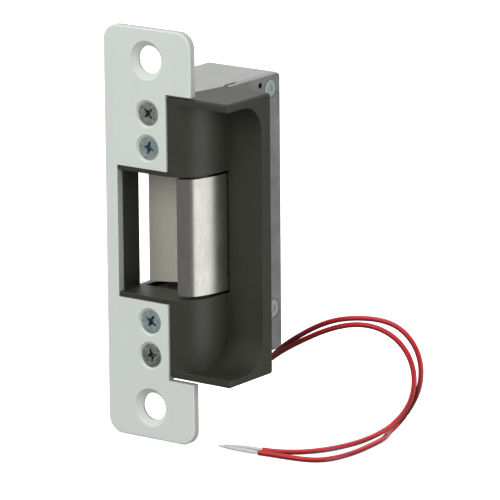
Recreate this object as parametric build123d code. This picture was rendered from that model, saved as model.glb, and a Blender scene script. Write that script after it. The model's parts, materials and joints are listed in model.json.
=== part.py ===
from build123d import *
import os
from math import cos, radians, sin

# Electric door strike for a small metal-frame jamb, standard size, millimetres.
# Origin: centre of the faceplate's front face, midway between its two jamb screw holes.
# +X is the lip side, where the latch leaves; +Y goes into the jamb; +Z is up.

# ---- Driving dimensions -------------------------------------------------------------
# Faceplate: the standard 1-1/4 x 4-7/8 in plate with holes 4-1/8 in apart
PLATE_W = 31.75
PLATE_H = 123.825
PLATE_T = 2.4
PLATE_CORNER = 4.8
PLATE_EDGE = 0.35
JAMB_HOLE_Z = 104.775 / 2
JAMB_HOLE_R = 4.15
JAMB_SINK_R = 5.9
NOTCH_X = 6.82
NOTCH_Z = 43.1
OPENING_X = -11.3
OPENING_Z = 20.0
SCREW_ZS = (36.5, 26.2, -26.2, -36.5)
SCREW_TURNS = (45, 12, 30, 78)

# Flat-head screws that hold the casting to the faceplate
SCREW_R = 2.05
SCREW_CLEAR_R = 2.25
SCREW_HEAD_R = 3.65
SINK_R = 4.25
SCREW_END_Y = 13.0
SCREW_TOP_Y = 0.57
RECESS_WING = 0.85
RECESS_DEPTH = 1.7
RECESS_HALF_W = 2.1
RECESS_TIP_HALF_W = 0.9

# Cast strike body: the lip with its scoop, and the blocks behind the faceplate
LIP_X0 = 6.9
LIP_X1 = 28.7
LIP_Y0 = 0.75
BODY_Y1 = 22.3
BODY_Z = 42.45
SCOOP_Z = 40.05
SCOOP_Y = 17.4
SCOOP_FILLET = 8.8
BODY_EDGE = 1.0
RIM_EDGE = 0.3
COLUMN_X1 = 16.4
POCKET_Z = 18.5
PLATE_RIM_Y0 = 0.4
SILL_X0 = -9.6
SILL_X1 = 4.5
SILL_Y = (10.7, 11.4)
SILL_DEPTH = 1.3
STRAP_X = -12.45
STRAP_Y1 = 10.2
STRAP_Z = 23.8
BULKHEAD_Y1 = 24.4
BULKHEAD_Z = 24.0

# Sheet-steel case and its side cover
SHEET = 1.2
CASE_X0 = -12.5
CASE_X1 = 12.15
CASE_Y1 = 48.0
CASE_BEND = 1.1
TOP_NOTCH_W = 1.1
TOP_NOTCH_Y1 = 28.0
TOP_SEAM = 0.3
COVER_T = 1.0
COVER_CORNER = 1.6
COVER_HOLE_R = 0.9
COVER_HOLE_Y = 38.0
COVER_HOLE_Z = 39.8
GAP = 0.1

# Screws of the case, the cover and the solenoid; places are (Y, Z) or Z alone
CASE_SCREW_R = 1.5
CASE_SCREW_HEAD_R = 2.7
CASE_SCREW_HEAD_T = 1.2
CASE_SCREW_END_X = -5.5
CASE_SCREWS = ((7.0, 32.0), (17.0, 32.0), (7.0, -32.0), (17.0, -32.0))
COVER_SCREWS = ((43.0, 38.1), (43.6, -29.5))
COVER_SCREW_R = 1.5
COVER_SCREW_HEAD_R = 2.7
COVER_SCREW_HEAD_T = 0.5
COVER_SINK_R = 3.1
COVER_SINK_DEPTH = 0.35
TAB_X0 = 10.9
TAB_HALF = 3.6
SOLENOID_SCREW_ZS = (-31.0, -15.0)
SOLENOID_SCREW_R = 1.5
SOLENOID_SCREW_HEAD_T = 1.3
SOCKET_R = 1.1

# Keeper: turns about a vertical pin
PIVOT_X = 8.7
PIVOT_Y = 12.3
KEEPER_Z = 17.7
KEEPER_BACK_R = 9.9
KEEPER_ROOT_R = 9.05
KEEPER_ROOT_ANGLE = 34.8
KEEPER_TIP = (8.2, 3.0)
FLOOR_R = 8.16
FLOOR_ANGLE = 25.5
FLOOR_END = 16.3
CHAMBER_R = 10.15
CHAMBER_Y1 = 20.6
EAR_T = 2.0
EAR_R = 5.0
KEEPER_PIN_R = 1.75
KEEPER_PIN_HALF = 24.0
KEEPER_WASHER_R = 3.6
TOOTH_R = 13.6
TOOTH_ROOT_Y = 20.0
TOOTH_X0 = 2.0
TOOTH_X1 = 5.2
TOOTH_Z0 = -6.0
TOOTH_Z1 = 1.5
SLOT_R = 14.2
SLOT_X1 = 5.5
KEEPER_SPRING_R = 2.75
KEEPER_SPRING_WIRE_R = 0.35
KEEPER_SPRING_PITCH = 0.8
KEEPER_SPRING_H = 4.8
KEEPER_SPRING_Z = 10.2

# Locking lever: a bell crank on a cross pin behind the keeper
LEVER_Y = 27.0
LEVER_Z = 6.5
LEVER_HALF_T = 1.5
LEVER_HUB_R = 3.6
LEVER_PIN_R = 1.5
LEVER_PIN_HALF = 6.0
LEVER_ARM_HALF = 2.4
LEVER_TILT = 8.7
LEVER_CLIP_X = 5.05
LEVER_CLIP_R = 2.4
LEVER_CLIP_T = 0.5
LEVER_CLIP_MOUTH = 1.7
LEVER_GROOVE_W = 0.55
LEVER_GROOVE_R = 1.15
NOSE_Y = 24.5
NOSE_Z = -2.5
NOSE_T = 2.6
LUG_X0 = 1.8
LUG_X1 = 5.0
LUG_R = 3.9

# Solenoid, upright in the lower half of the case
COIL_Y = 36.8
FRAME_HALF_W = 9.0
FRAME_T = 2.0
FRAME_Z0 = -38.0
FRAME_Z1 = -8.0
FRAME_Y0 = 28.9
BOBBIN_R = 7.7
BOBBIN_TUBE_R = 5.0
BOBBIN_BORE_R = 4.2
BOBBIN_FLANGE_T = 1.2
WINDING_R = 7.1
TAPE_R = 7.35
PLUNGER_R = 4.0
PLUNGER_Z0 = -22.5
PLUNGER_Z1 = 11.5
STROKE = 3.0
POLE_Z1 = -26.0
CLEVIS_PIN_Z = 8.0
CLEVIS_PIN_R = 1.0
CLIP_Z = 0.6
CLIP_T = 0.8
CLIP_R = 5.4
CLIP_MOUTH = 5.0
PLUNGER_SPRING_WIRE_R = 0.4
PLUNGER_SPRING_PITCH = 1.7

# Lead wires: they leave the case's underside, loop out and come down to the ground
WIRE_R = 0.8
STRANDS_R = 0.6
STRAND_TIPS = ((22.0, 3.5), (23.2, 4.9))
GROUND_Z = -PLATE_H / 2
GROMMET_X = 8.0
GROMMET_Y = 40.0
GROMMET_HOLE_R = 3.0
GROMMET_FLANGE_R = 3.8
GROMMET_BORE_R = 2.2


# ---- Helpers ------------------------------------------------------------------------
def block(x0, x1, y0, y1, z0, z1):
    """An upright box between two opposite corners."""
    centre = ((x0 + x1) / 2, (y0 + y1) / 2, (z0 + z1) / 2)
    return Pos(*centre) * Box(x1 - x0, y1 - y0, z1 - z0)


def rod_x(x0, x1, y, z, radius):
    """A round bar along X."""
    bar = Cylinder(radius, x1 - x0, align=(Align.CENTER, Align.CENTER, Align.MIN))
    return Pos(x0, y, z) * Rot(0, 90, 0) * bar


def rod_y(x, y0, y1, z, radius):
    """A round bar along Y."""
    bar = Cylinder(radius, y1 - y0, align=(Align.CENTER, Align.CENTER, Align.MIN))
    return Pos(x, y0, z) * Rot(-90, 0, 0) * bar


def rod_z(x, y, z0, z1, radius):
    """A round bar along Z."""
    bar = Cylinder(radius, z1 - z0, align=(Align.CENTER, Align.CENTER, Align.MIN))
    return Pos(x, y, z0) * bar


def cone_y(x, y0, y1, z, radius0, radius1):
    """A cone frustum along Y."""
    cone = Cone(radius0, radius1, y1 - y0, align=(Align.CENTER, Align.CENTER, Align.MIN))
    return Pos(x, y0, z) * Rot(-90, 0, 0) * cone


def column_xy(outline, z0, z1):
    """Extrudes a closed outline drawn in X and Y between two heights."""
    face = make_face(outline)
    return Pos(0, 0, z0) * extrude(face, amount=z1 - z0, dir=(0, 0, 1))


def about_pivot(radius, angle):
    """A point in X and Y, given by radius and angle about the keeper's pin."""
    x = PIVOT_X + radius * cos(radians(angle))
    y = PIVOT_Y + radius * sin(radians(angle))
    return (x, y)


def ring_gap(outer, inner, thickness, mouth):
    """A flat retaining clip: a ring with a mouth towards +X."""
    ring = Cylinder(outer, thickness) - Cylinder(inner, thickness)
    return ring - Pos(outer, 0, 0) * Box(2 * outer, mouth, thickness)


def coil_spring(radius, wire_r, pitch, height):
    """A helical spring standing on z = 0."""
    coil = Helix(pitch=pitch, height=height, radius=radius)
    return sweep(Plane(origin=coil @ 0, z_dir=coil % 0) * Circle(wire_r), path=coil)


# ---- Faceplate and its screws -------------------------------------------------------
def make_faceplate():
    plate = block(-PLATE_W / 2, PLATE_W / 2, 0, PLATE_T, -PLATE_H / 2, PLATE_H / 2)
    plate = fillet(plate.edges().filter_by(Axis.Y), PLATE_CORNER)
    front = plate.faces().sort_by(Axis.Y)[0]
    plate = chamfer(front.edges(), PLATE_EDGE)
    plate -= block(NOTCH_X, PLATE_W, -1, PLATE_T + 1, -NOTCH_Z, NOTCH_Z)
    plate -= block(OPENING_X, PLATE_W, -1, PLATE_T + 1, -OPENING_Z, OPENING_Z)
    for z in (-JAMB_HOLE_Z, JAMB_HOLE_Z):
        plate -= rod_y(0, -1, PLATE_T + 1, z, JAMB_HOLE_R)
        plate -= cone_y(0, 0, JAMB_SINK_R - JAMB_HOLE_R, z, JAMB_SINK_R, JAMB_HOLE_R)
    for z in SCREW_ZS:
        plate -= rod_y(0, -1, PLATE_T + 1, z, SCREW_CLEAR_R)
        plate -= cone_y(0, 0, SINK_R - SCREW_CLEAR_R, z, SINK_R, SCREW_CLEAR_R)
    return plate


def cross_recess():
    """A Phillips recess cut downwards from the origin along +Y."""
    points = [
        (-RECESS_HALF_W, 0),
        (RECESS_HALF_W, 0),
        (RECESS_TIP_HALF_W, RECESS_DEPTH),
        (-RECESS_TIP_HALF_W, RECESS_DEPTH),
    ]
    face = make_face(Polyline(*points, close=True))
    bar = Pos(0, 0, -RECESS_WING / 2) * extrude(face, amount=RECESS_WING, dir=(0, 0, 1))
    return bar + Rot(0, 90, 0) * bar + cone_y(0, 0, RECESS_DEPTH + 0.5, 0, 1.15, 0.3)


def make_faceplate_screws():
    screws = []
    for z, turn in zip(SCREW_ZS, SCREW_TURNS):
        head_depth = SCREW_HEAD_R - SCREW_R
        screw = cone_y(0, SCREW_TOP_Y, SCREW_TOP_Y + head_depth, z, SCREW_HEAD_R, SCREW_R)
        screw += rod_y(0, SCREW_TOP_Y + head_depth, SCREW_END_Y, z, SCREW_R)
        recess = cross_recess()
        screw -= Pos(0, SCREW_TOP_Y, z) * Rot(0, turn, 0) * recess
        screws.append(screw)
    return Compound(screws)


# ---- Cast strike body ---------------------------------------------------------------
def case_outline():
    """The top of the case seen from above, which the casting is relieved for."""
    points = [
        (CASE_X0, PLATE_T),
        (9.7, PLATE_T),
        (9.76, 10.1),
        (CASE_X1, BODY_Y1),
        (CASE_X1, CASE_Y1),
        (CASE_X0, CASE_Y1),
    ]
    return Polyline(*points, close=True)


def column_outline():
    """The fixed columns above and below the keeper share this convex front."""
    wall = (COLUMN_X1, SCOOP_Y)
    curve = Spline((LIP_X0, LIP_Y0), (11.0, 1.9), (14.0, 5.0), (15.6, 9.6), wall)
    back = Polyline(wall, (COLUMN_X1, BODY_Y1), (LIP_X0, BODY_Y1), (LIP_X0, LIP_Y0))
    return curve + back


def make_scoop():
    """The space the latch leaves through, open to the front and to the lip side."""
    space = block(LIP_X0, LIP_X1 + 5, -5, SCOOP_Y, -SCOOP_Z, SCOOP_Z)
    corners = space.edges().filter_by(Axis.X).group_by(Axis.Y)[-1]
    space = fillet(corners, SCOOP_FILLET)
    return space - column_xy(column_outline(), -SCOOP_Z - 1, SCOOP_Z + 1)


def make_chamber():
    """The room that the keeper and the latch need, cut through the casting."""
    room = block(OPENING_X, LIP_X1 + 5, -5, PIVOT_Y, -POCKET_Z, POCKET_Z)
    turning = rod_z(PIVOT_X, PIVOT_Y, -POCKET_Z, POCKET_Z, CHAMBER_R)
    room += turning & block(OPENING_X, COLUMN_X1, 0, 30, -POCKET_Z, POCKET_Z)
    room += block(OPENING_X, PIVOT_X, PIVOT_Y - 1, CHAMBER_Y1, -POCKET_Z, POCKET_Z)
    sill = [
        (SILL_X0, SILL_Y[0]),
        (SILL_X1, SILL_Y[1]),
        (SILL_X1, CHAMBER_Y1),
        (SILL_X0, CHAMBER_Y1),
    ]
    room += column_xy(Polyline(*sill, close=True), -POCKET_Z - SILL_DEPTH, -POCKET_Z + 1)
    tooth_slot = rod_z(PIVOT_X, PIVOT_Y, TOOTH_Z0 - 1, TOOTH_Z1 + 0.7, SLOT_R)
    tooth_slot &= block(OPENING_X, SLOT_X1, PIVOT_Y, 40, -POCKET_Z, POCKET_Z)
    nose_slot = block(-LUG_X0, LUG_X0, BODY_Y1 - 3, 40, NOSE_Z - 2, LEVER_Z + 6)
    return room + tooth_slot + nose_slot


def make_lever_lugs():
    """Two ears behind the keeper that carry the locking lever's pin."""
    lugs = []
    for side in (-1, 1):
        x0, x1 = sorted((side * LUG_X0, side * LUG_X1))
        lug = rod_x(x0, x1, LEVER_Y, LEVER_Z, LUG_R)
        lug += block(x0, x1, BODY_Y1, LEVER_Y, LEVER_Z - LUG_R, LEVER_Z + LUG_R)
        lugs.append(lug)
    return lugs


def make_strike_body():
    lip = block(LIP_X0, LIP_X1, LIP_Y0, BODY_Y1, -BODY_Z, BODY_Z)
    outer_side = lip.edges().filter_by(Axis.Y) + lip.edges().filter_by(Axis.X)
    outer_side += lip.edges().filter_by(Axis.Z).group_by(Axis.X)[-1]
    lip = fillet(outer_side, BODY_EDGE)
    inner_z = BODY_Z - SHEET - GAP / 2
    body = lip + block(OPENING_X + GAP, CASE_X1 - 0.5, PLATE_T, BODY_Y1, -inner_z, inner_z)
    body -= make_scoop()
    for z0, z1 in ((-OPENING_Z + GAP, -POCKET_Z), (POCKET_Z, OPENING_Z - GAP)):
        body += block(OPENING_X + GAP, LIP_X0, PLATE_RIM_Y0, PLATE_T, z0, z1)
    body += block(STRAP_X, OPENING_X + GAP, PLATE_T, STRAP_Y1, -STRAP_Z, STRAP_Z)
    body += block(
        OPENING_X + GAP, CASE_X1 - GAP, BODY_Y1 - 1, BULKHEAD_Y1, -BULKHEAD_Z, BULKHEAD_Z
    )
    ledge = offset(make_face(case_outline()), GAP)
    for z in (-BODY_Z - 1, inner_z):
        body -= Pos(0, 0, z) * extrude(ledge, amount=BODY_Z + 1 - inner_z, dir=(0, 0, 1))
    body -= make_chamber()
    for lug in make_lever_lugs():
        body += lug
    body -= rod_x(-9, 9, LEVER_Y, LEVER_Z, LEVER_PIN_R + 0.02)
    body -= rod_z(PIVOT_X, PIVOT_Y, -BODY_Z - 1, KEEPER_PIN_HALF + 0.2, KEEPER_PIN_R + 0.02)
    for z in SCREW_ZS:
        body -= rod_y(0, 0, SCREW_END_Y + 1.5, z, SCREW_R + 0.03)
    for y, z in CASE_SCREWS:
        body -= rod_x(-15, CASE_SCREW_END_X + 1, y, z, CASE_SCREW_R + 0.03)
    return body


# ---- Case, cover and their screws ---------------------------------------------------
def make_case():
    case = column_xy(case_outline(), -BODY_Z, BODY_Z)
    corner = case.edges().filter_by(Axis.Z).group_by(Axis.Y)[-1].sort_by(Axis.X)[0]
    folds = case.edges().filter_by(Axis.X).group_by(Axis.Y)[-1]
    case = fillet([corner] + list(folds), CASE_BEND)
    inner_z = BODY_Z - SHEET
    case -= block(CASE_X0 + SHEET, 40, -5, CASE_Y1 - SHEET, -inner_z, inner_z)
    case -= block(-20, 0, -5, STRAP_Y1 + 0.2, -STRAP_Z - 0.2, STRAP_Z + 0.2)
    case -= block(-20, 0, 0, 20.5, -POCKET_Z, POCKET_Z)
    notch_x = CASE_X1 - TOP_NOTCH_W
    case -= block(notch_x, 20, BODY_Y1, TOP_NOTCH_Y1, inner_z - 1, BODY_Z + 1)
    case -= block(CASE_X1 - TOP_SEAM, 20, BODY_Y1, 60, -60, 60)
    for y, z in COVER_SCREWS:
        low = max(z - TAB_HALF, -inner_z)
        high = min(z + TAB_HALF, inner_z)
        case += block(TAB_X0, CASE_X1 - GAP / 2, y - TAB_HALF, CASE_Y1 - SHEET / 2, low, high)
        case -= rod_x(0, 20, y, z, COVER_SCREW_R + 0.03)
    for y, z in CASE_SCREWS:
        case -= rod_x(-20, 0, y, z, CASE_SCREW_R + 0.2)
    for z in SOLENOID_SCREW_ZS:
        case -= rod_y(0, 45, 60, z, SOLENOID_SCREW_R + 0.2)
    return case - rod_z(GROMMET_X, GROMMET_Y, -50, -35, GROMMET_HOLE_R)


def make_side_cover():
    x0 = CASE_X1 + 0.05
    x1 = x0 + COVER_T
    cover = block(x0, x1, BODY_Y1 + GAP, CASE_Y1, -BODY_Z, BODY_Z)
    rear_corners = cover.edges().filter_by(Axis.X).group_by(Axis.Y)[-1]
    cover = fillet(rear_corners, COVER_CORNER)
    cover = chamfer(cover.faces().sort_by(Axis.X)[-1].edges(), RIM_EDGE)
    cover -= rod_x(x0 - 1, x1 + 1, COVER_HOLE_Y, COVER_HOLE_Z, COVER_HOLE_R)
    for y, z in COVER_SCREWS:
        cover -= rod_x(x0 - 1, x1 + 1, y, z, COVER_SCREW_R + 0.2)
        cover -= rod_x(x1 - COVER_SINK_DEPTH, x1 + 1, y, z, COVER_SINK_R)
    return cover


def socket_head(radius, thickness, socket):
    """A low domed head standing on z = 0, with a hexagon socket."""
    head = Cylinder(radius, thickness, align=(Align.CENTER, Align.CENTER, Align.MIN))
    head = fillet(head.edges().group_by(Axis.Z)[-1], thickness * 0.6)
    hexagon = extrude(RegularPolygon(socket, 6), amount=thickness)
    return head - Pos(0, 0, thickness * 0.25) * hexagon


def make_cover_screws():
    x1 = CASE_X1 + 0.05 + COVER_T - COVER_SINK_DEPTH
    screws = []
    for y, z in COVER_SCREWS:
        head = socket_head(COVER_SCREW_HEAD_R, COVER_SCREW_HEAD_T, SOCKET_R)
        screw = Pos(x1, y, z) * Rot(0, 90, 0) * head
        screw += rod_x(TAB_X0 - 1.5, x1, y, z, COVER_SCREW_R)
        screws.append(screw)
    return Compound(screws)


def make_case_screws():
    screws = []
    for y, z in CASE_SCREWS:
        head = socket_head(CASE_SCREW_HEAD_R, CASE_SCREW_HEAD_T, SOCKET_R)
        screw = Pos(CASE_X0, y, z) * Rot(0, -90, 0) * head
        screw += rod_x(CASE_X0, CASE_SCREW_END_X, y, z, CASE_SCREW_R)
        screws.append(screw)
    return Compound(screws)


def make_solenoid_screws():
    screws = []
    for z in SOLENOID_SCREW_ZS:
        head = socket_head(CASE_SCREW_HEAD_R, SOLENOID_SCREW_HEAD_T, SOCKET_R)
        screw = Pos(0, CASE_Y1, z) * Rot(-90, 0, 0) * head
        screw += rod_y(0, CASE_Y1 - SHEET - FRAME_T, CASE_Y1, z, SOLENOID_SCREW_R)
        screws.append(screw)
    return Compound(screws)


# ---- Keeper, its pin, washers and spring --------------------------------------------
def keeper_lip_front():
    """The curved face that the latch bolt slides on, from its tip to its root."""
    root = about_pivot(KEEPER_ROOT_R, KEEPER_ROOT_ANGLE)
    return Spline(KEEPER_TIP, (10.9, 3.3), (12.95, 4.9), (14.15, 7.4), (15.5, 12.0), root)


def keeper_back():
    """The rounded back, from the lip's root to the outside of the floor."""
    root = about_pivot(KEEPER_ROOT_R, KEEPER_ROOT_ANGLE)
    floor_out = about_pivot(KEEPER_BACK_R, FLOOR_ANGLE + 90)
    return ThreePointArc(root, about_pivot(KEEPER_BACK_R, 78), floor_out)


def keeper_outline():
    """J-shaped section: curved lip, rounded back and a flat floor behind the latch."""
    along = (cos(radians(FLOOR_ANGLE)), sin(radians(FLOOR_ANGLE)))
    floor_in = about_pivot(FLOOR_R, FLOOR_ANGLE + 90)
    floor_out = about_pivot(KEEPER_BACK_R, FLOOR_ANGLE + 90)
    end_in = (floor_in[0] - FLOOR_END * along[0], floor_in[1] - FLOOR_END * along[1])
    end_out = (floor_out[0] - FLOOR_END * along[0], floor_out[1] - FLOOR_END * along[1])
    lip_end = (8.5, 5.3)
    hollow_points = [(9.0, 20.2), (12.4, 18.0), (13.4, 13.4), (12.4, 9.2), (10.7, 6.0)]
    hollow = Spline(floor_in, *hollow_points, lip_end)
    leg = Polyline(floor_out, end_out, end_in, floor_in)
    return keeper_lip_front() + keeper_back() + leg + hollow + Line(lip_end, KEEPER_TIP)


def keeper_ear(z0):
    """One end plate of the keeper, round about the pin and filled out to the lip."""
    floor_out = about_pivot(KEEPER_BACK_R, FLOOR_ANGLE + 90)
    front = Polyline(floor_out, (0, PIVOT_Y), KEEPER_TIP)
    solid = column_xy(keeper_lip_front() + keeper_back() + front, z0, z0 + EAR_T)
    near_pin = rod_z(PIVOT_X, PIVOT_Y, z0, z0 + EAR_T, EAR_R)
    wall_side = block(PIVOT_X, 30, PIVOT_Y - EAR_R, 30, z0, z0 + EAR_T)
    back_side = block(PIVOT_X - EAR_R, 30, PIVOT_Y, 30, z0, z0 + EAR_T)
    return solid & (near_pin + wall_side + back_side)


def make_keeper():
    keeper = column_xy(keeper_outline(), -KEEPER_Z, KEEPER_Z)
    for z0 in (-KEEPER_Z, KEEPER_Z - EAR_T):
        keeper += keeper_ear(z0)
    tooth = block(TOOTH_X0, TOOTH_X1, TOOTH_ROOT_Y, 30, TOOTH_Z0, TOOTH_Z1)
    keeper += tooth & rod_z(PIVOT_X, PIVOT_Y, TOOTH_Z0, TOOTH_Z1, TOOTH_R)
    return keeper - rod_z(PIVOT_X, PIVOT_Y, -30, 30, KEEPER_PIN_R + 0.05)


def make_keeper_pin():
    pin = rod_z(PIVOT_X, PIVOT_Y, -KEEPER_PIN_HALF, KEEPER_PIN_HALF, KEEPER_PIN_R)
    return chamfer(pin.edges(), 0.3)


def make_keeper_washers():
    thickness = POCKET_Z - KEEPER_Z - 0.1
    washers = []
    for z0 in (KEEPER_Z + 0.05, -KEEPER_Z - 0.05 - thickness):
        z1 = z0 + thickness
        washer = rod_z(PIVOT_X, PIVOT_Y, z0, z1, KEEPER_WASHER_R)
        washers.append(washer - rod_z(PIVOT_X, PIVOT_Y, z0, z1, KEEPER_PIN_R + 0.05))
    return Compound(washers)


def make_keeper_spring():
    """Torsion spring coiled about the pin, with one leg against the lip's inner face."""
    coils = coil_spring(
        KEEPER_SPRING_R, KEEPER_SPRING_WIRE_R, KEEPER_SPRING_PITCH, KEEPER_SPRING_H
    )
    leg = rod_y(KEEPER_SPRING_R, -4.6, 0, 0, KEEPER_SPRING_WIRE_R)
    return Pos(PIVOT_X, PIVOT_Y, KEEPER_SPRING_Z) * Rot(0, 0, -40) * (coils + leg)


# ---- Locking lever ------------------------------------------------------------------
def make_locking_lever():
    reach = COIL_Y - LEVER_Y
    hub = rod_x(-LEVER_HALF_T, LEVER_HALF_T, LEVER_Y, LEVER_Z, LEVER_HUB_R)
    nose_points = [
        (0, NOSE_Y, LEVER_Z),
        (0, NOSE_Y, NOSE_Z),
        (0, NOSE_Y + NOSE_T, NOSE_Z),
        (0, LEVER_Y + 3.0, LEVER_Z - 2.0),
    ]
    nose_face = make_face(Polyline(*nose_points, close=True))
    nose = Pos(-LEVER_HALF_T, 0, 0) * extrude(nose_face, amount=2 * LEVER_HALF_T, dir=(1, 0, 0))
    arm = block(-LEVER_HALF_T, LEVER_HALF_T, 0, reach + 2.8, -LEVER_ARM_HALF, LEVER_ARM_HALF)
    slot_r = CLEVIS_PIN_R + 0.15
    slot = block(-5, 5, reach - 1.5, reach + 5, -slot_r, slot_r)
    slot += rod_x(-5, 5, reach - 1.5, 0, slot_r)
    lever = hub + nose + Pos(0, LEVER_Y, LEVER_Z) * Rot(LEVER_TILT, 0, 0) * (arm - slot)
    return lever - rod_x(-5, 5, LEVER_Y, LEVER_Z, LEVER_PIN_R + 0.05)


def make_lever_pin():
    pin = rod_x(-LEVER_PIN_HALF, LEVER_PIN_HALF, LEVER_Y, LEVER_Z, LEVER_PIN_R)
    for x0 in (-LEVER_CLIP_X - LEVER_GROOVE_W, LEVER_CLIP_X):
        groove = rod_x(x0, x0 + LEVER_GROOVE_W, LEVER_Y, LEVER_Z, LEVER_PIN_R + 1)
        pin -= groove - rod_x(x0, x0 + LEVER_GROOVE_W, LEVER_Y, LEVER_Z, LEVER_GROOVE_R)
    return pin


def make_lever_clips():
    middle = LEVER_CLIP_X + LEVER_GROOVE_W / 2
    clips = []
    for x in (-middle, middle):
        clip = ring_gap(LEVER_CLIP_R, LEVER_GROOVE_R + 0.02, LEVER_CLIP_T, LEVER_CLIP_MOUTH)
        clips.append(Pos(x, LEVER_Y, LEVER_Z) * Rot(0, 90, 0) * Rot(0, 0, 90) * clip)
    return Compound(clips)


# ---- Solenoid -----------------------------------------------------------------------
def make_solenoid_frame():
    y1 = CASE_Y1 - SHEET
    frame = block(-FRAME_HALF_W, FRAME_HALF_W, FRAME_Y0, y1, FRAME_Z0, FRAME_Z1)
    frame = fillet(frame.edges().filter_by(Axis.X).group_by(Axis.Y)[-1], 1.5)
    frame -= block(-20, 20, 0, y1 - FRAME_T, FRAME_Z0 + FRAME_T, FRAME_Z1 - FRAME_T)
    frame -= rod_z(0, COIL_Y, FRAME_Z1 - 5, FRAME_Z1 + 1, PLUNGER_R + 0.3)
    frame -= rod_z(0, COIL_Y, FRAME_Z0 - 1, FRAME_Z0 + 5, 2.5)
    for z in SOLENOID_SCREW_ZS:
        frame -= rod_y(0, 40, 60, z, SOLENOID_SCREW_R + 0.03)
    return frame


def make_bobbin():
    z0 = FRAME_Z0 + FRAME_T + 0.05
    z1 = FRAME_Z1 - FRAME_T - 0.05
    bobbin = rod_z(0, COIL_Y, z0, z1, BOBBIN_TUBE_R)
    for start in (z0, z1 - BOBBIN_FLANGE_T):
        bobbin += rod_z(0, COIL_Y, start, start + BOBBIN_FLANGE_T, BOBBIN_R)
    return bobbin - rod_z(0, COIL_Y, z0 - 1, z1 + 1, BOBBIN_BORE_R)


def coil_ring(inner, outer):
    """A ring in the space between the bobbin's flanges."""
    z0 = FRAME_Z0 + FRAME_T + 1.3
    z1 = FRAME_Z1 - FRAME_T - 1.3
    return rod_z(0, COIL_Y, z0, z1, outer) - rod_z(0, COIL_Y, z0, z1, inner)


def make_coil_winding():
    return coil_ring(BOBBIN_TUBE_R + 0.02, WINDING_R)


def make_coil_tape():
    return coil_ring(WINDING_R + 0.02, TAPE_R)


def make_pole_piece():
    pole = rod_z(0, COIL_Y, FRAME_Z0 + FRAME_T, POLE_Z1, PLUNGER_R)
    return pole + rod_z(0, COIL_Y, FRAME_Z0, FRAME_Z0 + FRAME_T, 2.48)


def make_plunger():
    plunger = rod_z(0, COIL_Y, PLUNGER_Z0, PLUNGER_Z1, PLUNGER_R)
    plunger = chamfer(plunger.edges().filter_by(GeomType.CIRCLE), 0.4)
    plunger -= block(-LEVER_HALF_T - 0.2, LEVER_HALF_T + 0.2, 20, 50, 2.0, 20)
    groove = rod_z(0, COIL_Y, CLIP_Z, CLIP_Z + CLIP_T + 0.05, PLUNGER_R + 1)
    groove -= rod_z(0, COIL_Y, CLIP_Z, CLIP_Z + CLIP_T + 0.05, PLUNGER_R - 0.7)
    return plunger - groove - rod_x(-9, 9, COIL_Y, CLEVIS_PIN_Z, CLEVIS_PIN_R + 0.02)


def make_plunger_pin():
    return rod_x(-4.4, 4.4, COIL_Y, CLEVIS_PIN_Z, CLEVIS_PIN_R)


def make_plunger_clip():
    clip = ring_gap(CLIP_R, PLUNGER_R - 0.68, CLIP_T, CLIP_MOUTH)
    return Pos(0, COIL_Y, CLIP_Z + CLIP_T / 2 + 0.02) * clip


def make_plunger_spring():
    wire_r = PLUNGER_SPRING_WIRE_R
    z0 = FRAME_Z1 + wire_r + 0.02
    z1 = CLIP_Z - wire_r - 0.02
    spring = coil_spring(PLUNGER_R + wire_r + 0.3, wire_r, PLUNGER_SPRING_PITCH, z1 - z0)
    return Pos(0, COIL_Y, z0) * spring


# ---- Grommet and lead wires ---------------------------------------------------------
def make_grommet():
    z1 = -BODY_Z + SHEET
    grommet = rod_z(GROMMET_X, GROMMET_Y, -BODY_Z - 1.2, z1 + 1.2, GROMMET_HOLE_R - 0.02)
    grommet += rod_z(GROMMET_X, GROMMET_Y, z1, z1 + 1.2, GROMMET_FLANGE_R)
    grommet += rod_z(GROMMET_X, GROMMET_Y, -BODY_Z - 1.2, -BODY_Z, GROMMET_FLANGE_R)
    return grommet - rod_z(GROMMET_X, GROMMET_Y, -60, 0, GROMMET_BORE_R)


def wire_route(inset):
    """Route of one lead; the inner lead keeps a little inside the outer one."""
    wire_y = GROMMET_Y + 1.0 - 2.0 * inset
    low = GROUND_Z + WIRE_R
    coil_side = (8.3, COIL_Y + 1.0 - 2.0 * inset, FRAME_Z0 + 5)
    hidden = [
        coil_side,
        (10.3, wire_y - 0.5, FRAME_Z0 + 0.5),
        (GROMMET_X + 0.3, wire_y, -BODY_Z + 1.5),
        (GROMMET_X, wire_y, -BODY_Z - 0.8),
    ]
    if inset:
        loop = [
            (10.4, wire_y + 0.1, -45.6),
            (16.0, 39.4, -43.2),
            (25.7, 41.4, -36.9),
            (37.0, 44.3, -31.7),
            (47.0, 46.6, -30.6),
            (55.0, 48.5, -34.1),
            (60.2, 48.9, -41.5),
            (61.4, 47.8, -47.7),
            (59.9, 46.2, -53.8),
            (57.2, 42.6, -58.4),
            (55.9, 37.6, -60.1),
            (54.7, 32.0, -60.9),
            (53.4, 25.6, low),
            (50.6, 17.6, low),
            (45.4, 11.0, low),
            (35.9, 7.0, low),
        ]
    else:
        loop = [
            (11.0, wire_y + 0.1, -45.2),
            (15.8, 41.1, -42.3),
            (24.0, 42.0, -35.9),
            (33.5, 44.0, -30.7),
            (44.5, 46.5, -28.5),
            (55.0, 49.0, -30.3),
            (61.6, 50.0, -38.0),
            (62.4, 49.8, -46.0),
            (58.4, 48.8, -55.6),
            (55.5, 47.2, -60.0),
            (55.7, 43.6, -61.0),
            (57.5, 38.6, low),
            (59.1, 28.0, low),
            (59.0, 16.8, low),
            (55.4, 8.0, low),
            (47.7, 5.2, low),
            (36.5, 4.0, low),
        ]
    return hidden + loop


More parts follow.
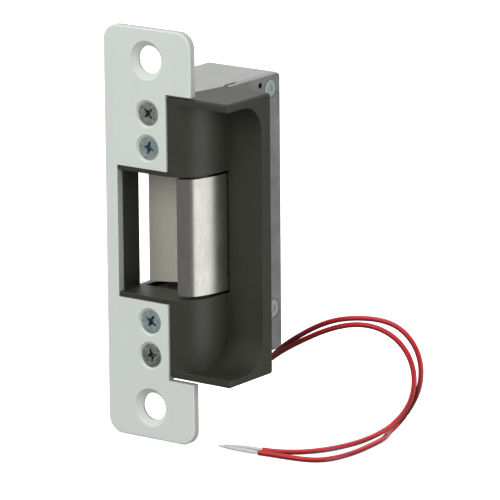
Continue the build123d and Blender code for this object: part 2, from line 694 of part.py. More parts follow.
def make_lead_wire(inset):
    route = Spline(*wire_route(inset))
    return sweep(Plane(origin=route @ 0, z_dir=route % 0) * Circle(WIRE_R), path=route)


def make_lead_wire_a():
    return make_lead_wire(0)


def make_lead_wire_b():
    return make_lead_wire(1)


def make_wire_ends():
    """The bared and tinned end of each lead, from just clear of its insulation."""
    ends = []
    low = GROUND_Z + STRANDS_R + 0.1
    for inset, tip in enumerate(STRAND_TIPS):
        route = Spline(*wire_route(inset))
        along = route % 1
        lead = route @ 1 + along * 0.05
        towards = (tip[0] - lead.X, tip[1] - lead.Y, 0)
        strand = Spline(lead, (tip[0], tip[1], low), tangents=[along, towards])
        section = Plane(origin=strand @ 0, z_dir=strand % 0) * Circle(STRANDS_R)
        ends.append(sweep(section, path=strand))
    return Compound(ends)


NODES = {
    "faceplate": make_faceplate,
    "faceplate_screws": make_faceplate_screws,
    "strike_body": make_strike_body,
    "case": make_case,
    "case_screws": make_case_screws,
    "side_cover": make_side_cover,
    "cover_screws": make_cover_screws,
    "keeper": make_keeper,
    "keeper_pin": make_keeper_pin,
    "keeper_washers": make_keeper_washers,
    "keeper_spring": make_keeper_spring,
    "locking_lever": make_locking_lever,
    "lever_pin": make_lever_pin,
    "lever_clips": make_lever_clips,
    "solenoid_frame": make_solenoid_frame,
    "solenoid_screws": make_solenoid_screws,
    "bobbin": make_bobbin,
    "coil_winding": make_coil_winding,
    "coil_tape": make_coil_tape,
    "pole_piece": make_pole_piece,
    "plunger": make_plunger,
    "plunger_pin": make_plunger_pin,
    "plunger_clip": make_plunger_clip,
    "plunger_spring": make_plunger_spring,
    "grommet": make_grommet,
    "lead_wire_a": make_lead_wire_a,
    "lead_wire_b": make_lead_wire_b,
    "wire_ends": make_wire_ends,
}

os.makedirs("parts", exist_ok=True)
for name, make in NODES.items():
    shape = make()
    shape.label = name
    export_step(shape, f"parts/{name}.step")
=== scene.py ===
import json
from math import cos, pi, radians, sin

import bpy
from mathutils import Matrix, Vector


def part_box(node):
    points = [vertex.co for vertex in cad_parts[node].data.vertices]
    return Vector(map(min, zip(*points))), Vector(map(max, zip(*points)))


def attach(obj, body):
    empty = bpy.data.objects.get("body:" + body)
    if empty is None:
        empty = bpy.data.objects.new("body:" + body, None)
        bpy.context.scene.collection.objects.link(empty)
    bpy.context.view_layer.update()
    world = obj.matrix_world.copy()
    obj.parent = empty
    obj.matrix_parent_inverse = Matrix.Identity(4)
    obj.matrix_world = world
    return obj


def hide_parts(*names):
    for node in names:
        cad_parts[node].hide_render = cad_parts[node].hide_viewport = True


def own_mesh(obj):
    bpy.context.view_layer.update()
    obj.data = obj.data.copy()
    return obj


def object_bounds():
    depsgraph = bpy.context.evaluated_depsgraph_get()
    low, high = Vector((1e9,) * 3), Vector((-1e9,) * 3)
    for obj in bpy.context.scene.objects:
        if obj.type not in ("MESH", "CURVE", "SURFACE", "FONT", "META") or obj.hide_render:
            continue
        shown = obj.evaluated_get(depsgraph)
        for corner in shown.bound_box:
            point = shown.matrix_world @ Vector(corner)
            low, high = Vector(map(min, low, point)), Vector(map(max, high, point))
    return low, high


MM = 0.001

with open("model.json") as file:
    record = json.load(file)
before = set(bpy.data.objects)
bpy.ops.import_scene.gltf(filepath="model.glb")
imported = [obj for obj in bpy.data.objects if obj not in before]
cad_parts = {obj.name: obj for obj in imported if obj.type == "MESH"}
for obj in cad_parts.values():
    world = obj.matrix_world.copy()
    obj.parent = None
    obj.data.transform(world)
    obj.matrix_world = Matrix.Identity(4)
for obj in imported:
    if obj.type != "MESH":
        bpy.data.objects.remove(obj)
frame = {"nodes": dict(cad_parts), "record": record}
CAD_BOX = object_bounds()
NODES = frame["nodes"]


# ---- Node helpers -------------------------------------------------------------------
class Shader:
    """A material's node tree, built with short calls."""

    def __init__(self, name):
        self.material = bpy.data.materials.new(name)
        self.material.use_nodes = True
        self.tree = self.material.node_tree
        self.bsdf = self.tree.nodes["Principled BSDF"]
        texture_coords = self.tree.nodes.new("ShaderNodeTexCoord")
        self.coords = texture_coords.outputs["Object"]
        self.normal = texture_coords.outputs["Normal"]

    def put(self, socket, value):
        """A value is a number, a colour or another node's output."""
        if isinstance(value, bpy.types.NodeSocket):
            self.tree.links.new(value, socket)
        else:
            socket.default_value = value

    def set(self, **values):
        """Sets the surface shader's inputs."""
        for key, value in values.items():
            self.put(self.bsdf.inputs[key.replace("_", " ")], value)

    def stretched(self, scale):
        """Coordinates stretched along an axis, for brush marks."""
        mapping = self.tree.nodes.new("ShaderNodeMapping")
        self.put(mapping.inputs["Vector"], self.coords)
        mapping.inputs["Scale"].default_value = scale
        return mapping.outputs["Vector"]

    def noise(self, scale, detail, rough=0.55, vector=None):
        made = self.tree.nodes.new("ShaderNodeTexNoise")
        self.put(made.inputs["Vector"], vector or self.coords)
        made.inputs["Scale"].default_value = scale
        made.inputs["Detail"].default_value = detail
        made.inputs["Roughness"].default_value = rough
        return made.outputs["Fac"]

    def place(self, axis):
        """How far along X, Y or Z of the frame a point is, in metres."""
        split = self.tree.nodes.new("ShaderNodeSeparateXYZ")
        self.put(split.inputs[0], self.coords)
        return split.outputs[axis]

    def facing(self, direction):
        """How squarely the surface faces a direction: 1 straight at it, 0 side on."""
        dot = self.tree.nodes.new("ShaderNodeVectorMath")
        dot.operation = "DOT_PRODUCT"
        self.put(dot.inputs[0], self.normal)
        dot.inputs[1].default_value = direction
        return dot.outputs["Value"]

    def span(self, value, low, high, to_low=0.0, to_high=1.0):
        """Stretches a range of a value over another range, clamped."""
        made = self.tree.nodes.new("ShaderNodeMapRange")
        self.put(made.inputs["Value"], value)
        made.inputs["From Min"].default_value = low
        made.inputs["From Max"].default_value = high
        made.inputs["To Min"].default_value = to_low
        made.inputs["To Max"].default_value = to_high
        return made.outputs["Result"]

    def mix(self, share, a, b):
        made = self.tree.nodes.new("ShaderNodeMix")
        made.data_type = "RGBA"
        colours = [socket for socket in made.inputs if socket.type == "RGBA"]
        self.put(made.inputs["Factor"], share)
        self.put(colours[0], a)
        self.put(colours[1], b)
        return next(socket for socket in made.outputs if socket.type == "RGBA")

    def math(self, operation, a, b=0.0):
        made = self.tree.nodes.new("ShaderNodeMath")
        made.operation = operation
        self.put(made.inputs[0], a)
        self.put(made.inputs[1], b)
        return made.outputs["Value"]

    def rounded_normal(self, radius):
        bevel = self.tree.nodes.new("ShaderNodeBevel")
        bevel.samples = 6
        bevel.inputs["Radius"].default_value = radius
        return bevel.outputs["Normal"]

    def edges(self, radius):
        """0 on flat ground, rising to 1 on a sharp edge: where a coating wears, and where an edge
        is painted bright as a highlight.
        """
        geometry = self.tree.nodes.new("ShaderNodeNewGeometry")
        dot = self.tree.nodes.new("ShaderNodeVectorMath")
        dot.operation = "DOT_PRODUCT"
        self.put(dot.inputs[0], self.rounded_normal(radius))
        self.put(dot.inputs[1], geometry.outputs["Normal"])
        return self.span(dot.outputs["Value"], 0.995, 0.80)

    def relief(self, height, depth, edge_radius=0.0):
        """Bump of a stated depth in metres, over softened edges."""
        bump = self.tree.nodes.new("ShaderNodeBump")
        bump.inputs["Distance"].default_value = depth
        bump.inputs["Strength"].default_value = 1.0
        self.put(bump.inputs["Height"], height)
        if edge_radius:
            self.put(bump.inputs["Normal"], self.rounded_normal(edge_radius))
        self.put(self.bsdf.inputs["Normal"], bump.outputs["Normal"])


def rgb(r, g, b):
    return (r, g, b, 1.0)


# ---- Materials ----------------------------------------------------------------------
def satin_aluminium():
    """Clear-anodised faceplate: pale and even, with a fine etched grain and duller cut edges."""
    s = Shader("satin_aluminium")
    grain = s.noise(5200, 3, 0.7)
    cloud = s.noise(45, 3, 0.5)
    drawn = s.noise(700, 3, 0.6, s.stretched((1.0, 1.0, 0.02)))
    tone = s.mix(s.span(grain, 0.3, 0.7), rgb(0.62, 0.66, 0.625), rgb(0.71, 0.745, 0.71))
    tone = s.mix(s.span(cloud, 0.35, 0.7, 0.0, 0.20), tone, rgb(0.56, 0.61, 0.57))
    tone = s.mix(s.span(drawn, 0.5, 0.8, 0.0, 0.12), tone, rgb(0.50, 0.53, 0.51))
    cut = s.span(s.math("ABSOLUTE", s.facing((0, 1, 0))), 0.5, 0.2)
    tone = s.mix(cut, tone, rgb(0.47, 0.49, 0.46))
    # Painted highlight: every edge of the plate is lightened
    tone = s.mix(s.math("MULTIPLY", s.edges(0.25 * MM), 0.5), tone, rgb(0.86, 0.88, 0.87))
    s.set(Base_Color=tone, Metallic=0.25)
    s.set(Roughness=s.span(grain, 0.25, 0.75, 0.42, 0.56))
    s.relief(grain, 0.012 * MM, 0.12 * MM)
    return s.material


def black_casting():
    """Satin black coating over a casting: faint orange peel, dust and rubbed edges."""
    s = Shader("black_casting")
    peel = s.noise(1500, 3, 0.6)
    cloud = s.noise(60, 4, 0.6)
    specks = s.span(s.noise(3800, 2, 0.5), 0.66, 0.74, 0.0, 0.35)
    tone = s.mix(s.span(cloud, 0.3, 0.7), rgb(0.024, 0.0255, 0.018), rgb(0.031, 0.0325, 0.0235))
    tone = s.mix(specks, tone, rgb(0.055, 0.056, 0.048))
    wear = s.span(s.noise(300, 4, 0.7), 0.35, 0.65, 0.1, 0.6)
    rubbed = s.math("MULTIPLY", s.edges(0.35 * MM), wear)
    tone = s.mix(rubbed, tone, rgb(0.10, 0.10, 0.09))
    s.set(Base_Color=tone, Metallic=0.0, Specular_IOR_Level=0.6)
    s.set(Roughness=s.span(peel, 0.3, 0.7, 0.42, 0.54))
    s.relief(peel, 0.020 * MM, 0.3 * MM)
    return s.material


def zinc_sheet():
    """Dull zinc plating on folded sheet: soft mottling and faint rolling lines."""
    s = Shader("zinc_plated_sheet")
    lines = s.noise(900, 3, 0.6, s.stretched((1.0, 1.0, 0.03)))
    mottle = s.noise(160, 5, 0.65)
    tone = s.mix(s.span(mottle, 0.3, 0.7), rgb(0.41, 0.42, 0.40), rgb(0.53, 0.54, 0.51))
    tone = s.mix(s.span(lines, 0.4, 0.7, 0.0, 0.3), tone, rgb(0.38, 0.39, 0.375))
    # Painted highlight: every edge of the sheet is lightened
    tone = s.mix(s.math("MULTIPLY", s.edges(0.25 * MM), 0.6), tone, rgb(0.74, 0.75, 0.72))
    s.set(Base_Color=tone, Metallic=0.95)
    s.set(Roughness=s.span(mottle, 0.3, 0.7, 0.32, 0.46))
    s.relief(s.math("ADD", lines, mottle), 0.008 * MM, 0.2 * MM)
    return s.material


# Faceplate screws differ in tone: height above which each begins, its face and its recess, whose
# dark tone is painted shade
SCREW_TONES = (
    (-1.000, (0.125, 0.130, 0.115), (0.045, 0.048, 0.042)),
    (-0.031, (0.225, 0.295, 0.295), (0.030, 0.090, 0.110)),
    (0.000, (0.225, 0.285, 0.272), (0.040, 0.160, 0.275)),
    (0.031, (0.175, 0.185, 0.165), (0.085, 0.095, 0.080)),
)
# The painted shade in a screw's recess starts at this depth and is full half a millimetre deeper
RECESS_RIM_Y = 0.75 * MM


def plated_screw(name, tones, recess_y=None):
    """Zinc on screws: mottled, with edges painted bright as a highlight and painted shade
    darkening a recess.
    """
    s = Shader(name)
    mottle = s.noise(900, 4, 0.6)
    turned = s.noise(400, 2, 0.5)
    height = s.place("Z")
    face, recess_shade = rgb(*tones[0][1]), rgb(*tones[0][2])
    for start, face_tone, recess_shade_tone in tones[1:]:
        above = s.math("GREATER_THAN", height, start)
        face = s.mix(above, face, rgb(*face_tone))
        recess_shade = s.mix(above, recess_shade, rgb(*recess_shade_tone))
    tone = s.mix(s.span(mottle, 0.40, 0.68, 0.0, 0.55), face, rgb(0.50, 0.56, 0.54))
    tone = s.mix(s.span(turned, 0.45, 0.65, 0.0, 0.35), tone, face)
    # Painted shade: the recess darkens from its rim inwards
    if recess_y is not None:
        tone = s.mix(s.span(s.place("Y"), recess_y, recess_y + 0.5 * MM), tone, recess_shade)
    # Painted highlight: every edge of the screw is lightened
    tone = s.mix(s.math("MULTIPLY", s.edges(0.22 * MM), 0.75), tone, rgb(0.78, 0.84, 0.82))
    s.set(Base_Color=tone, Metallic=0.45)
    s.set(Roughness=s.span(mottle, 0.3, 0.7, 0.28, 0.44))
    s.relief(mottle, 0.016 * MM, 0.15 * MM)
    return s.material


def keeper_nickel():
    """Keeper: bright lip with fine lengthwise brush marks and small pits, satin floor."""
    s = Shader("keeper_nickel")
    brush = s.noise(2600, 4, 0.7, s.stretched((1.0, 1.0, 0.05)))
    pits = s.span(s.noise(1700, 2, 0.5), 0.60, 0.72)
    cloud = s.noise(110, 4, 0.6)
    tone = s.mix(s.span(brush, 0.3, 0.7), rgb(0.56, 0.55, 0.51), rgb(0.70, 0.69, 0.65))
    tone = s.mix(s.span(cloud, 0.35, 0.7, 0.0, 0.35), tone, rgb(0.47, 0.475, 0.43))
    tone = s.mix(s.math("MULTIPLY", pits, 0.45), tone, rgb(0.28, 0.275, 0.25))
    floor = s.span(s.facing(FLOOR_FACING), 0.985, 0.995)
    floor = s.math("MULTIPLY", floor, s.math("GREATER_THAN", s.place("Y"), FLOOR_FROM_Y))
    satin = s.mix(s.span(brush, 0.3, 0.7), rgb(0.44, 0.42, 0.36), rgb(0.50, 0.48, 0.42))
    tone = s.mix(floor, tone, satin)
    # Painted highlight: every edge of the keeper is lightened
    tone = s.mix(s.math("MULTIPLY", s.edges(0.2 * MM), 0.5), tone, rgb(0.86, 0.85, 0.82))
    s.set(Base_Color=tone, Metallic=s.span(floor, 0.0, 1.0, 1.0, 0.2))
    polish = s.span(cloud, 0.3, 0.7, 0.27, 0.36)
    s.set(Roughness=s.math("ADD", polish, s.math("MULTIPLY", floor, 0.2)))
    s.relief(s.math("SUBTRACT", brush, pits), 0.008 * MM, 0.18 * MM)
    return s.material


def plain_metal(name, dark, light, low, high, scale=500):
    """Ground or drawn steel: two tones along its grain."""
    s = Shader(name)
    grain = s.noise(scale, 4, 0.6, s.stretched((1.0, 1.0, 0.1)))
    cloud = s.noise(scale * 0.15, 3, 0.5)
    tone = s.mix(s.span(grain, 0.3, 0.7), rgb(*dark), rgb(*light))
    tone = s.mix(s.span(cloud, 0.45, 0.7, 0.0, 0.35), tone, rgb(*dark))
    s.set(Base_Color=tone, Metallic=1.0)
    s.set(Roughness=s.span(grain, 0.3, 0.7, low, high))
    s.relief(grain, 0.006 * MM, 0.12 * MM)
    return s.material


def plain_plastic(name, dark, light, low, high):
    """Moulded or wrapped plastic: a fine texture over two close tones."""
    s = Shader(name)
    grain = s.noise(600, 3, 0.6)
    cloud = s.noise(60, 3, 0.5)
    blend = s.math("MULTIPLY", s.math("ADD", grain, cloud), 0.5)
    tone = s.mix(s.span(blend, 0.35, 0.65), rgb(*dark), rgb(*light))
    s.set(Base_Color=tone, Metallic=0.0, Specular_IOR_Level=0.5)
    s.set(Roughness=s.span(grain, 0.3, 0.7, low, high))
    s.relief(grain, 0.01 * MM, 0.15 * MM)
    return s.material


def tinned_strands():
    """Tinned copper: pale and soft, with a little copper showing between the strands."""
    s = Shader("tinned_copper")
    fine = s.noise(1500, 3, 0.6)
    cloud = s.noise(350, 3, 0.6)
    tone = s.mix(s.span(fine, 0.3, 0.7), rgb(0.60, 0.61, 0.60), rgb(0.80, 0.81, 0.80))
    tone = s.mix(s.span(cloud, 0.55, 0.75, 0.0, 0.35), tone, rgb(0.50, 0.44, 0.38))
    s.set(Base_Color=tone, Metallic=0.35)
    s.set(Roughness=s.span(fine, 0.3, 0.7, 0.34, 0.5))
    s.relief(fine, 0.008 * MM)
    return s.material


def red_insulation():
    """Glossy red PVC with faint extrusion marks, and painted shade that darkens its underside."""
    s = Shader("red_insulation")
    cloud = s.noise(90, 3, 0.5)
    fine = s.noise(1600, 3, 0.6)
    tone = s.mix(s.span(cloud, 0.3, 0.7), rgb(0.44, 0.008, 0.015), rgb(0.66, 0.016, 0.027))
    tone = s.mix(s.span(fine, 0.45, 0.75, 0.0, 0.35), tone, rgb(0.33, 0.005, 0.010))
    # Painted shade: surfaces facing down are darkened to maroon
    tone = s.mix(s.span(s.facing((0, 0, 1)), 0.6, -0.3), tone, rgb(0.12, 0.004, 0.006))
    s.set(Base_Color=tone, Metallic=0.0, Specular_IOR_Level=0.6)
    s.set(Coat_Weight=0.6, Coat_Roughness=0.12)
    s.set(Roughness=s.span(fine, 0.3, 0.7, 0.26, 0.38))
    s.relief(fine, 0.010 * MM)
    return s.material


# The keeper's flat floor behind the latch: the way it faces, and the depth it starts at
FLOOR_AZIMUTH = radians(25.5)
FLOOR_FACING = (sin(FLOOR_AZIMUTH), -cos(FLOOR_AZIMUTH), 0.0)
FLOOR_FROM_Y = 9.0 * MM

# Each plain finish has a dark and a light tone
FINE_GRAIN = 900
PLAIN_STEEL = ((0.30, 0.30, 0.29), (0.46, 0.46, 0.45))
PIN_STEEL = ((0.42, 0.42, 0.41), (0.60, 0.60, 0.59))
DARK_STEEL = ((0.20, 0.20, 0.20), (0.36, 0.36, 0.35))
PLUNGER_NICKEL = ((0.46, 0.45, 0.42), (0.62, 0.61, 0.57))
COPPER = ((0.34, 0.10, 0.035), (0.56, 0.19, 0.07))
WHITE = ((0.60, 0.58, 0.52), (0.70, 0.68, 0.62))
BLACK = ((0.014, 0.014, 0.015), (0.022, 0.022, 0.023))
RUBBER = ((0.010, 0.010, 0.010), (0.018, 0.018, 0.018))
YELLOW = ((0.48, 0.31, 0.035), (0.62, 0.42, 0.06))
PALE_ZINC = ((-1.0, (0.40, 0.45, 0.44), (0.10, 0.11, 0.11)),)
LOOKS = {
    "satin_aluminium": satin_aluminium(),
    "black_casting": black_casting(),
    "zinc_plated_sheet": zinc_sheet(),
    "zinc_plated_screws": plated_screw("zinc_plated_screws", PALE_ZINC),
    "keeper_nickel": keeper_nickel(),
    "plain_steel": plain_metal("plain_steel", *PLAIN_STEEL, 0.32, 0.46),
    "steel_pins": plain_metal("steel_pins", *PIN_STEEL, 0.16, 0.28, FINE_GRAIN),
    "spring_steel": plain_metal("spring_steel", *DARK_STEEL, 0.20, 0.32, FINE_GRAIN),
    "plunger_nickel": plain_metal("plunger_nickel", *PLUNGER_NICKEL, 0.14, 0.24, FINE_GRAIN),
    "tinned_copper": tinned_strands(),
    "white_nylon": plain_plastic("white_nylon", *WHITE, 0.40, 0.52),
    "black_nylon": plain_plastic("black_nylon", *BLACK, 0.42, 0.56),
    "copper_winding": plain_metal("copper_winding", *COPPER, 0.22, 0.34),
    "yellow_tape": plain_plastic("yellow_tape", *YELLOW, 0.24, 0.36),
    "black_rubber": plain_plastic("black_rubber", *RUBBER, 0.60, 0.78),
    "red_insulation": red_insulation(),
}
FACEPLATE_SCREWS = plated_screw("faceplate_screw_zinc", SCREW_TONES, RECESS_RIM_Y)


def dress(obj, material):
    obj.data.materials.clear()
    obj.data.materials.append(material)


for part in frame["record"]["subparts"]:
    dress(NODES[part["node"]], LOOKS[part["material_slot"]])
dress(NODES["faceplate_screws"], FACEPLATE_SCREWS)


# ---- Pieces made here: the spring and the bared strands -----------------------------
def tube(rings, sides):
    """Vertices and faces of a closed round tube; a ring is its centre and radius."""
    centres = [Vector(centre) for centre, _ in rings]
    verts, faces = [], []
    side = Vector((0.0, 0.0, 1.0))
    for i, (_, radius) in enumerate(rings):
        ahead = centres[min(i + 1, len(rings) - 1)] - centres[max(i - 1, 0)]
        ahead.normalize()
        side = (side - ahead * side.dot(ahead)).normalized()
        over = ahead.cross(side)
        for k in range(sides):
            turn = 2 * pi * k / sides
            verts.append(centres[i] + (side * cos(turn) + over * sin(turn)) * radius)
    for i in range(len(rings) - 1):
        for k in range(sides):
            low, high = i * sides, (i + 1) * sides
            near, far = k, (k + 1) % sides
            faces.append((low + near, low + far, high + far, high + near))
    faces.append(tuple(range(sides))[::-1])
    last = (len(rings) - 1) * sides
    faces.append(tuple(range(last, last + sides)))
    return verts, faces


def build_piece(name, tubes, slot, body):
    """One object made of closed tubes, riding on a body."""
    mesh = bpy.data.meshes.new(name)
    verts, faces = [], []
    for tube_verts, tube_faces in tubes:
        start = len(verts)
        verts += tube_verts
        faces += [tuple(start + i for i in face) for face in tube_faces]
    mesh.from_pydata(verts, [], faces)
    for face in mesh.polygons:
        face.use_smooth = len(face.vertices) == 4
    obj = bpy.data.objects.new(name, mesh)
    bpy.context.scene.collection.objects.link(obj)
    dress(obj, LOOKS[slot])
    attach(obj, body)
    return obj


def eased(value):
    value = min(max(value, 0.0), 1.0)
    return value * value * (3 - 2 * value)


SPRING_WIRE = 0.4 * MM
SPRING_TURNS = 6.0
SPRING_STEPS = 40
CLOSED_TURNS = 1.0
SPRING_SIDES = 10


def plunger_spring():
    """Compression spring with closed ends, made at one length; the real one shortens as the
    plunger is drawn in.
    """
    low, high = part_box("plunger_spring")
    centre = (low + high) / 2
    radius = (high.x - low.x) / 2 - SPRING_WIRE
    foot = low.z + SPRING_WIRE
    rise = high.z - low.z - 2 * SPRING_WIRE
    closed = 2 * SPRING_WIRE * CLOSED_TURNS
    free_turns = SPRING_TURNS - 2 * CLOSED_TURNS
    rings = []
    count = int(SPRING_TURNS * SPRING_STEPS)
    for i in range(count + 1):
        turn = SPRING_TURNS * i / count
        climb = min(turn, CLOSED_TURNS) / CLOSED_TURNS * closed
        climb += min(max(turn - CLOSED_TURNS, 0), free_turns) / free_turns * (rise - 2 * closed)
        climb += max(turn - CLOSED_TURNS - free_turns, 0) / CLOSED_TURNS * closed
        angle = 2 * pi * turn
        spot = (centre.x + radius * cos(angle), centre.y + radius * sin(angle), foot + climb)
        rings.append((spot, SPRING_WIRE))
    spring = build_piece("return_spring", [tube(rings, SPRING_SIDES)], "spring_steel", "frame")
    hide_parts("plunger_spring")
    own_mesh(spring)


def loose_parts(mesh):
    """The vertex positions of each separate shell, the largest X first."""
    parent = list(range(len(mesh.vertices)))

    def root(i):
        while parent[i] != i:
            parent[i] = parent[parent[i]]
            i = parent[i]
        return i

    spots = {}
    for vertex in mesh.vertices:
        key = tuple(round(c / SAME_SPOT) for c in vertex.co)
        parent[root(vertex.index)] = root(spots.setdefault(key, vertex.index))
    for edge in mesh.edges:
        parent[root(edge.vertices[0])] = root(edge.vertices[1])
    shells = {}
    for vertex in mesh.vertices:
        shells.setdefault(root(vertex.index), []).append(vertex.co.copy())
    return sorted(shells.values(), key=lambda shell: -max(v.x for v in shell))


STRAND_SLICE = 1.5 * MM
SAME_SPOT = 0.002 * MM
BUNDLE_R = 0.6 * MM
STRANDS = 7
STRAND_SIDES = 8
STRAND_RING_R = 0.632 * BUNDLE_R
STRAND_R = 0.36 * BUNDLE_R
STRAND_TWIST = 5.5 * MM
STRAND_STEP = 0.35 * MM
STRAND_RAGGED = 0.5 * MM
# Shares of a strand's length and width: where the tip's gathering starts and how much of the
# width it takes away, and how much narrower the bundle is where it leaves the insulation
GATHER_FROM = 0.55
GATHER_LOSS = 0.45
ROOT_LENGTH = 0.12
ROOT_LOSS = 0.25


def centreline(shell):
    """Points down the middle of a swept shell from its high-X end, one in each slice of X."""
    slices = {}
    start = max(spot.x for spot in shell)
    for spot in shell:
        slices.setdefault(int((start - spot.x) / STRAND_SLICE), []).append(spot)
    middles = []
    for key in sorted(slices):
        group = slices[key]
        lows = [min(v[i] for v in group) for i in range(3)]
        highs = [max(v[i] for v in group) for i in range(3)]
        middles.append(Vector([(a + b) / 2 for a, b in zip(lows, highs)]))
    middles[0].x = start
    middles[-1].x = min(spot.x for spot in shell)
    return middles


def walk(line, step):
    """Evenly spaced points along a line of points, with how far along each is."""
    spots, gone = [(line[0], 0.0)], 0.0
    for a, b in zip(line, line[1:]):
        length = (b - a).length
        count = max(1, round(length / step))
        for i in range(1, count + 1):
            spots.append((a.lerp(b, i / count), gone + length * i / count))
        gone += length
    return spots, gone


def strand_tube(strand, spots, length):
    """One strand: the first runs down the middle and the others wind about it."""
    ring_r = 0.0 if strand == 0 else STRAND_RING_R
    end = length - STRAND_RAGGED * (strand * 3 % STRANDS) / STRANDS
    rings = []
    for spot, gone in spots:
        if gone > end:
            break
        width = 1.0 - GATHER_LOSS * eased((gone / length - GATHER_FROM) / (1 - GATHER_FROM))
        width *= 1.0 - ROOT_LOSS * (1 - eased(gone / (ROOT_LENGTH * length)))
        angle = 2 * pi * (strand / (STRANDS - 1) + gone / STRAND_TWIST)
        offset = Vector((0, cos(angle), sin(angle))) * ring_r * width
        rings.append((spot + offset, STRAND_R * width))
    rings[-1] = (rings[-1][0], rings[-1][1] / 2)
    return tube(rings, STRAND_SIDES)


def bared_strands():
    """Twisted, tinned strands at the end of each lead, drawn together at the tip."""
    pieces = []
    for letter, shell in zip("ab", loose_parts(NODES["wire_ends"].data)):
        spots, length = walk(centreline(shell), STRAND_STEP)
        tubes = [strand_tube(strand, spots, length) for strand in range(STRANDS)]
        piece = build_piece("bared_strands_" + letter, tubes, "tinned_copper", "frame")
        pieces.append(piece)
    for piece in pieces:
        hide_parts("wire_ends")


plunger_spring()
bared_strands()


# ---- Camera -------------------------------------------------------------------------
AZIMUTH = radians(36.46)
ELEVATION = radians(13.89)
ROLL = radians(-0.51)
DISTANCE = 1.430
LENS = 351.0
SENSOR = 36.0
AIM_RIGHT = 29.75 * MM
AIM_UP = -4.17 * MM


def add_camera():
    level = (sin(AZIMUTH) * cos(ELEVATION), -cos(AZIMUTH) * cos(ELEVATION), sin(ELEVATION))
    back = Vector(level)
    right = (-back).cross(Vector((0, 0, 1))).normalized()
    up = right.cross(-back)
    right_rolled = right * cos(ROLL) + up * sin(ROLL)
    up_rolled = up * cos(ROLL) - right * sin(ROLL)
    data = bpy.data.cameras.new("camera")
    data.lens = LENS
    data.sensor_width = SENSOR
    data.clip_start = 0.05
    data.clip_end = 20.0
    camera = bpy.data.objects.new("camera", data)
    bpy.context.scene.collection.objects.link(camera)
    rows = (right_rolled, up_rolled, back)
    for i in range(3):
        for j in range(3):
            camera.matrix_world[i][j] = rows[j][i]
    camera.location = back * DISTANCE + right_rolled * AIM_RIGHT + up_rolled * AIM_UP
    bpy.context.scene.camera = camera


# ---- Floor, backdrop and light ------------------------------------------------------
FLOOR_HALF = 6.0
FLOOR_GLOW = 0.70


def add_floor():
    """A pale floor that the strike and its leads stand on. Reflections see the studio instead."""
    ground = CAD_BOX[0][2]
    mesh = bpy.data.meshes.new("floor")
    corners = [
        (-FLOOR_HALF, -FLOOR_HALF, ground),
        (FLOOR_HALF, -FLOOR_HALF, ground),
        (FLOOR_HALF, FLOOR_HALF, ground),
        (-FLOOR_HALF, FLOOR_HALF, ground),
    ]
    mesh.from_pydata(corners, [], [(0, 1, 2, 3)])
    floor = bpy.data.objects.new("floor", mesh)
    bpy.context.scene.collection.objects.link(floor)
    floor.visible_glossy = False
    floor.visible_diffuse = False
    floor.visible_shadow = False
    s = Shader("floor_paper")
    tone = s.mix(s.span(s.noise(40, 3), 0.3, 0.7), rgb(0.93, 0.93, 0.93), rgb(0.95, 0.95, 0.95))
    s.set(Base_Color=tone, Roughness=0.9, Specular_IOR_Level=0.1)
    s.set(Emission_Color=rgb(1, 1, 1), Emission_Strength=FLOOR_GLOW)
    mesh.materials.append(s.material)


# Soft lamps: name, place in metres and power in watts
LIGHTS = (
    ("front_key", (-0.15, -0.95, 0.42), 12.5),
    ("right_fill", (1.4, 0.1, 0.3), 10),
    ("back_fill", (-0.9, 1.2, 0.9), 8),
)
LIGHT_SIZE = 0.9
LIGHT_AIM = (0, 0.02, 0)


def add_light(name, location, power):
    """A large soft lamp that lights surfaces without showing in their reflections."""
    data = bpy.data.lights.new(name, "AREA")
    data.shape = "RECTANGLE"
    data.size = LIGHT_SIZE
    data.size_y = LIGHT_SIZE
    data.energy = power
    light = bpy.data.objects.new(name, data)
    bpy.context.scene.collection.objects.link(light)
    light.location = location
    aim = Vector(LIGHT_AIM) - Vector(location)
    light.rotation_euler = aim.to_track_quat("-Z", "Y").to_euler()
    light.visible_glossy = False


# Soft panels of the studio: azimuth from the front towards +X, elevation, half-width of
# the full-strength middle, half-width where it ends, all in degrees, and strength
PANELS = (
    (97, -12, 22, 36, 1.12),
    (-143, 32, 30, 75, 0.70),
    (0, 80, 20, 60, 0.40),
)
ROOM = 0.19


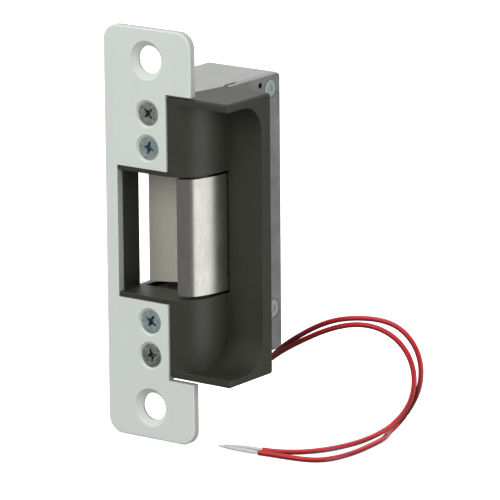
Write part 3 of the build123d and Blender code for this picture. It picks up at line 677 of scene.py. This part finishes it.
def add_world():
    """White surroundings for the camera; an uneven studio with soft panels for everything else."""
    world = bpy.data.worlds.new("studio")
    bpy.context.scene.world = world
    world.use_nodes = True
    tree = world.node_tree
    direction = tree.nodes.new("ShaderNodeTexCoord").outputs["Generated"]
    total = None
    for azimuth, elevation, inner, outer, strength in PANELS:
        a, e = radians(azimuth), radians(elevation)
        dot = tree.nodes.new("ShaderNodeVectorMath")
        dot.operation = "DOT_PRODUCT"
        tree.links.new(direction, dot.inputs[0])
        dot.inputs[1].default_value = (sin(a) * cos(e), -cos(a) * cos(e), sin(e))
        panel = tree.nodes.new("ShaderNodeMapRange")
        panel.interpolation_type = "SMOOTHSTEP"
        tree.links.new(dot.outputs["Value"], panel.inputs["Value"])
        panel.inputs["From Min"].default_value = cos(radians(outer))
        panel.inputs["From Max"].default_value = cos(radians(inner))
        panel.inputs["To Max"].default_value = strength
        if total is None:
            total = panel.outputs["Result"]
            continue
        add = tree.nodes.new("ShaderNodeMath")
        tree.links.new(total, add.inputs[0])
        tree.links.new(panel.outputs["Result"], add.inputs[1])
        total = add.outputs["Value"]
    room = tree.nodes.new("ShaderNodeMath")
    tree.links.new(total, room.inputs[0])
    room.inputs[1].default_value = ROOM
    background = tree.nodes["Background"]
    background.inputs["Color"].default_value = rgb(1.0, 1.0, 1.0)
    tree.links.new(room.outputs["Value"], background.inputs["Strength"])
    seen = tree.nodes.new("ShaderNodeBackground")
    seen.inputs["Color"].default_value = rgb(1.0, 1.0, 1.0)
    path = tree.nodes.new("ShaderNodeLightPath")
    mix = tree.nodes.new("ShaderNodeMixShader")
    tree.links.new(path.outputs["Is Camera Ray"], mix.inputs["Fac"])
    tree.links.new(background.outputs[0], mix.inputs[1])
    tree.links.new(seen.outputs[0], mix.inputs[2])
    tree.links.new(mix.outputs[0], tree.nodes["World Output"].inputs["Surface"])


add_camera()
add_floor()
add_world()
for light_name, light_place, light_power in LIGHTS:
    add_light(light_name, light_place, light_power)
bpy.context.scene.view_settings.view_transform = "Standard"
